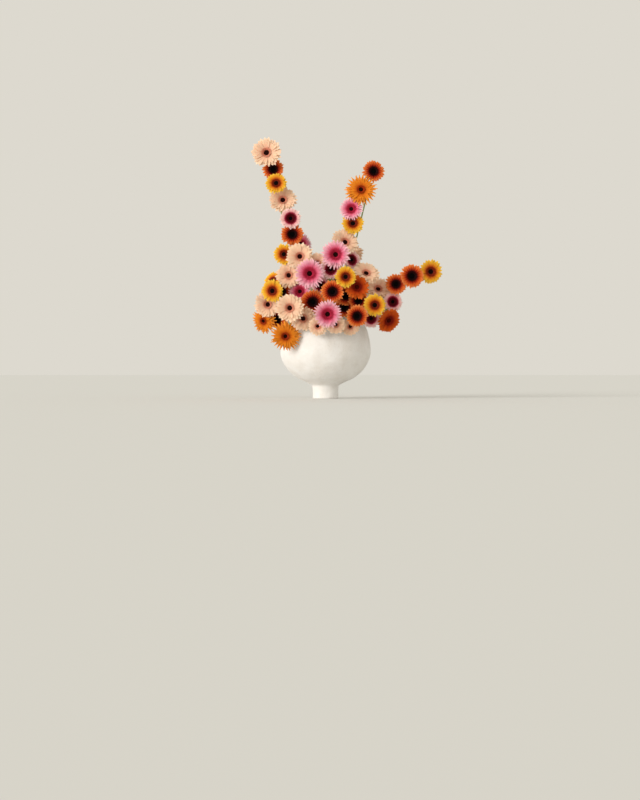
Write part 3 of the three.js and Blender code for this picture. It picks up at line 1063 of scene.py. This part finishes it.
class GERBERA_OT_studio(bpy.types.Operator):
    """Makes the pale floor and backdrop, the soft light and the camera"""

    bl_idname = "gerbera.studio"
    bl_label = "Studio"

    def execute(self, context):
        settings = context.scene.gerbera_studio
        add_floor(settings)
        add_lights(context.scene, settings)
        add_camera(context.scene, settings)
        return {"FINISHED"}


# ---- Stage

FLOOR_RADIUS = 60.0
LIGHT_SPREAD = math.radians(40)
LIGHT_COLOUR = "#fffcf8"
LIGHT_DIRECTION = Vector((0.80, 0.60, -0.26))
# What the camera sees from top to bottom at the vase, in metres.
VIEW_HEIGHT = 2.56


def add_floor(settings):
    """A wide round floor whose far edge fades into the backdrop."""
    bm = bmesh.new()
    bmesh.ops.create_circle(bm, cap_ends=True, radius=FLOOR_RADIUS, segments=96)
    mesh = bpy.data.meshes.new("floor")
    bm.to_mesh(mesh)
    bm.free()
    # Painted studio floor: flat and dull, so it shows nothing but soft shadow.
    paint, tree, output = new_material("studio_paint")
    skin = add(
        tree, "ShaderNodeBsdfDiffuse", {"Color": opaque(settings.floor)},
    )
    tree.links.new(skin.outputs["BSDF"], output.inputs["Surface"])
    mesh.materials.append(paint)
    floor = bpy.data.objects.new("floor", mesh)
    bpy.context.scene.collection.objects.link(floor)


def add_lights(scene, settings):
    """A broad soft key from the left front, and an even pale backdrop that fills."""
    lamp = bpy.data.lights.new("key", "SUN")
    lamp.energy = settings.key_power
    lamp.angle = LIGHT_SPREAD
    lamp.color = linear(LIGHT_COLOUR)
    key = bpy.data.objects.new("key", lamp)
    key.matrix_world = LIGHT_DIRECTION.to_track_quat("-Z", "Y").to_matrix().to_4x4()
    scene.collection.objects.link(key)
    world = bpy.data.worlds.new("backdrop")
    world.use_nodes = True
    world.node_tree.nodes.clear()
    sky = add(
        world.node_tree, "ShaderNodeBackground",
        {"Color": opaque(settings.backdrop), "Strength": 1.0},
    )
    output = world.node_tree.nodes.new("ShaderNodeOutputWorld")
    world.node_tree.links.new(sky.outputs["Background"], output.inputs["Surface"])
    scene.world = world


def add_camera(scene, settings):
    """A nearly level view from the front, from a little above the vase's foot."""
    lens = bpy.data.cameras.new("camera")
    lens.sensor_width = 36
    lens.lens = settings.distance * lens.sensor_width / VIEW_HEIGHT
    place = Vector((-0.018, -settings.distance, 0.080))
    aim = Vector((place.x, 0, -0.005))
    camera = bpy.data.objects.new("camera", lens)
    camera.matrix_world = (
        Matrix.Translation(place) @ (aim - place).to_track_quat("-Z", "Y").to_matrix().to_4x4()
    )
    scene.collection.objects.link(camera)
    scene.camera = camera
    scene.view_settings.view_transform = "Standard"


# ---- Add-on

STEPS = (
    GERBERA_OT_vase, GERBERA_OT_petals, GERBERA_OT_eyes, GERBERA_OT_stems, GERBERA_OT_studio,
)
GROUPS = {
    "gerbera_vase": VaseSettings,
    "gerbera_flowers": GerberaSettings,
    "gerbera_studio": StudioSettings,
}


class GERBERA_PT_panel(bpy.types.Panel):
    """Lists the settings and the steps that build the arrangement"""

    bl_label = "Gerberas"
    bl_idname = "GERBERA_PT_panel"
    bl_space_type = "VIEW_3D"
    bl_region_type = "UI"
    bl_category = "Gerberas"

    def draw(self, context):
        for group, settings in GROUPS.items():
            box = self.layout.box()
            for name in settings.__annotations__:
                box.prop(getattr(context.scene, group), name)
        for step in STEPS:
            self.layout.operator(step.bl_idname)


def register():
    for made in (*GROUPS.values(), *STEPS, GERBERA_PT_panel):
        bpy.utils.register_class(made)
    for group, settings in GROUPS.items():
        setattr(bpy.types.Scene, group, PointerProperty(type=settings))


def unregister():
    for group in GROUPS:
        delattr(bpy.types.Scene, group)
    for made in reversed((*GROUPS.values(), *STEPS, GERBERA_PT_panel)):
        bpy.utils.unregister_class(made)


def main():
    register()
    for step in STEPS:
        prefix, name = step.bl_idname.split(".")
        getattr(getattr(bpy.ops, prefix), name)()


if __name__ == "__main__":
    main()
